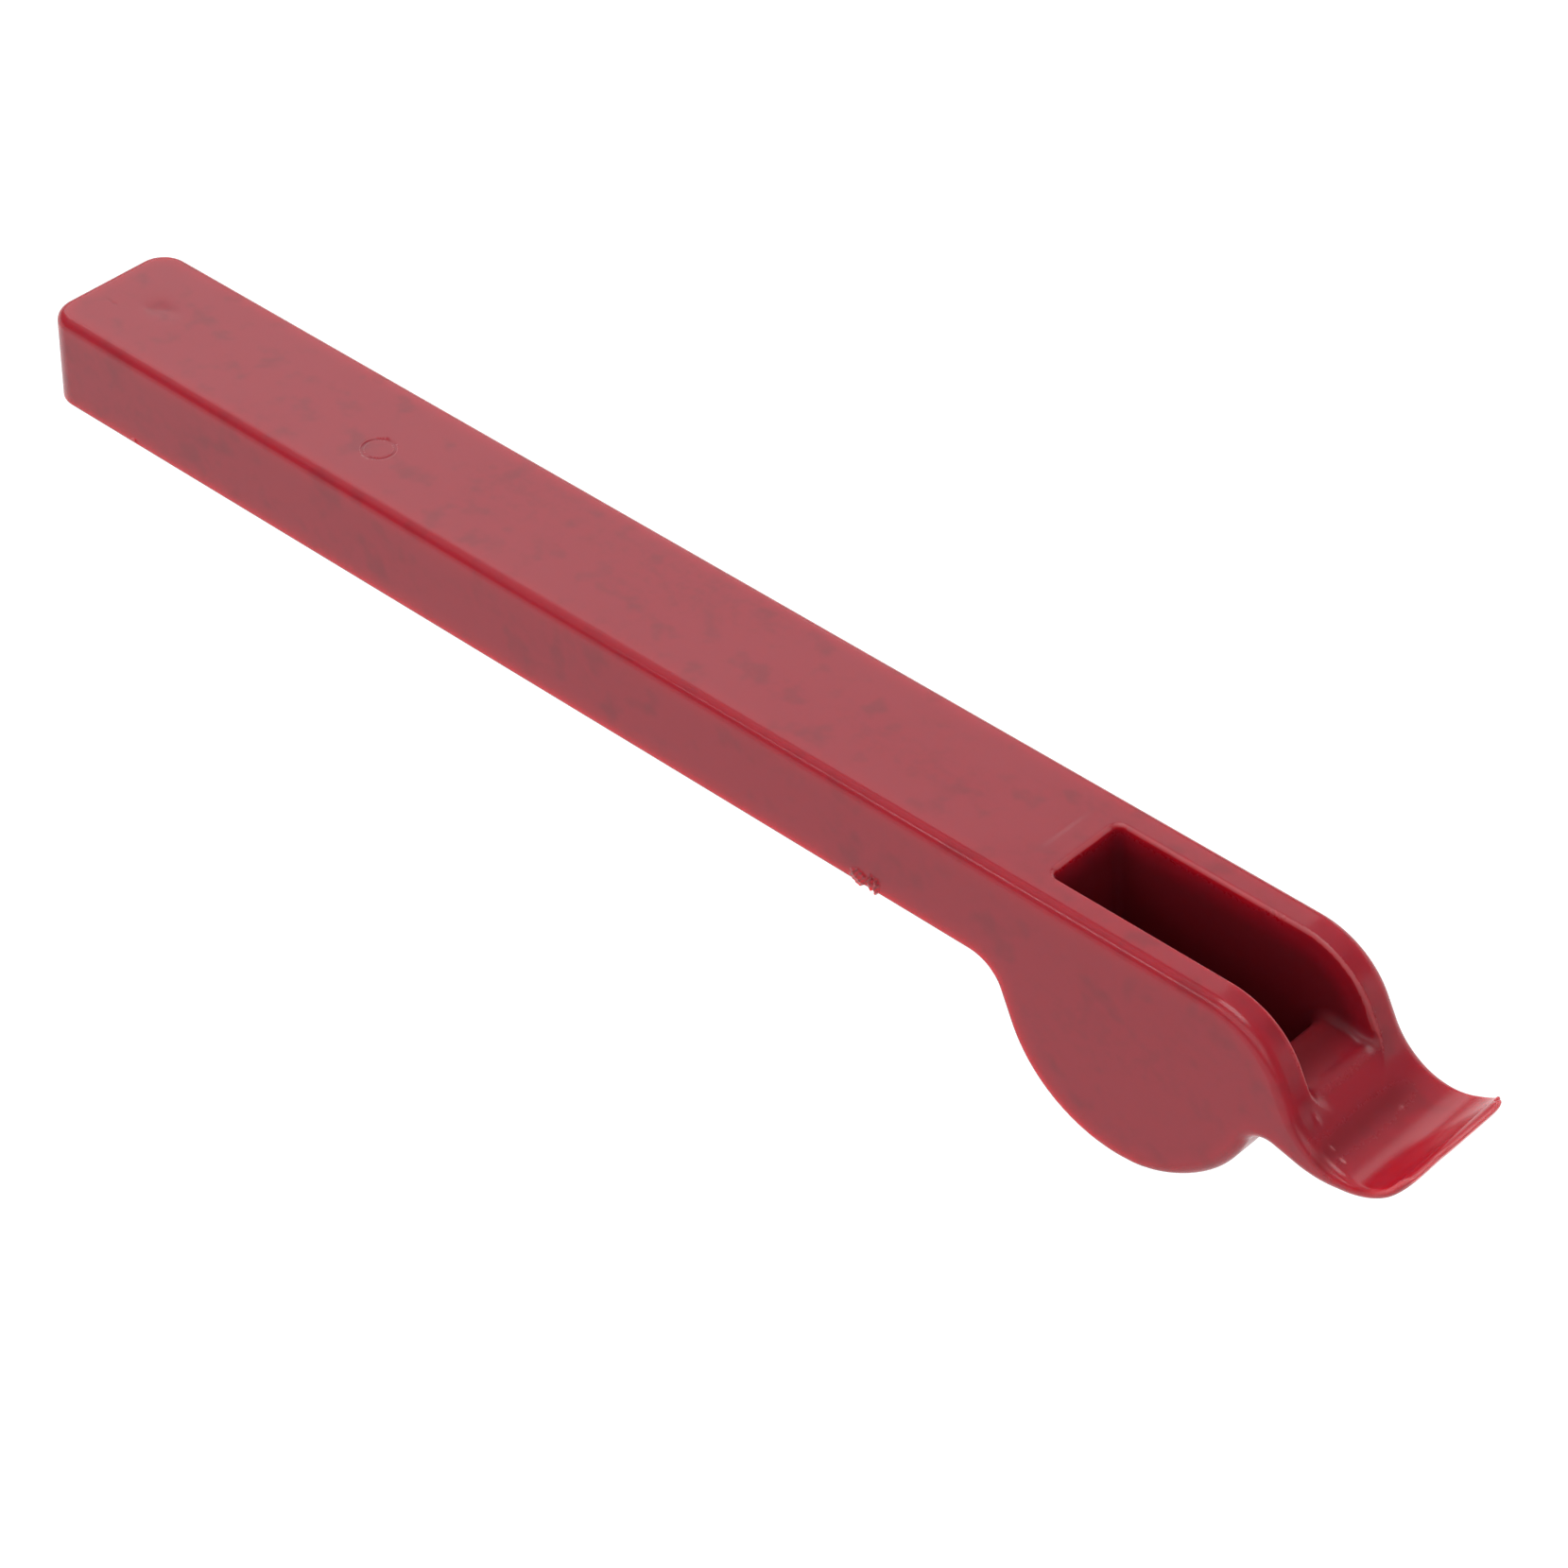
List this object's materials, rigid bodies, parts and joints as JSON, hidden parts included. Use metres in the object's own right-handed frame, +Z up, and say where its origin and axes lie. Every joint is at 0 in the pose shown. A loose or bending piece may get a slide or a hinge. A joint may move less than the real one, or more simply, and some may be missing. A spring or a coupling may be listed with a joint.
{
  "type": "hive tool",
  "caption": "Moulded plastic prying lever with a square-sided handle, a round fulcrum lobe, an open pocket in its head and a thin curled lip that hooks under a hive lid or frame.",
  "frame": {"origin": "centre of the box round the tool as it lies on a table, at table height", "axes": "+X from the handle's rear end towards the lip, +Y across the width, +Z up. The tool rests on the rear end's lower edge and on the lobe, so the handle rises 5.42 degrees towards the head."},
  "size_m": [0.2085, 0.02, 0.0297],
  "materials": {
    "red_plastic": "satin red polypropylene, faintly mottled"
  },
  "bodies": {
    "root": {"moulded_body": "red_plastic"}
  },
  "joints": []
}
